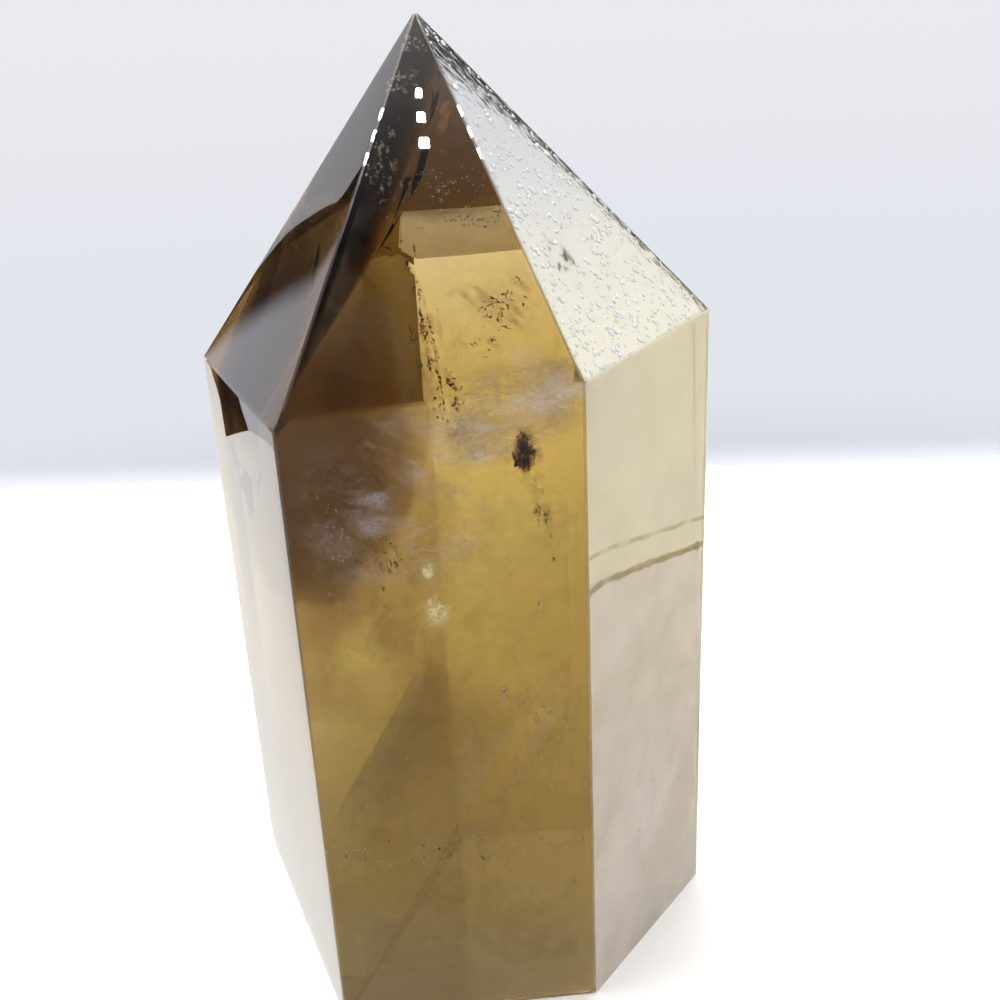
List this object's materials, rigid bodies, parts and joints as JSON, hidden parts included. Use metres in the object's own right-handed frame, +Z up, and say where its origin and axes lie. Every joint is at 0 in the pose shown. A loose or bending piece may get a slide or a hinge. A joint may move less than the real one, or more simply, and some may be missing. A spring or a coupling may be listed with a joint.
{
  "type": "citrine crystal point",
  "caption": "Polished smoky citrine point: an upright, slightly uneven quartz prism with sloping tip facets and a flat base to stand on.",
  "frame": {"origin": "middle of the base's bounding box, on the flat face it stands on", "axes": "+Z up to the tip, -Y the way the wide front side faces, +X to that side's right"},
  "size_m": [0.0752, 0.0718, 0.139],
  "materials": {
    "smoky_citrine": "polished, see-through with smoky and milky zones"
  },
  "bodies": {
    "root": {"crystal_point": "smoky_citrine"}
  },
  "joints": []
}
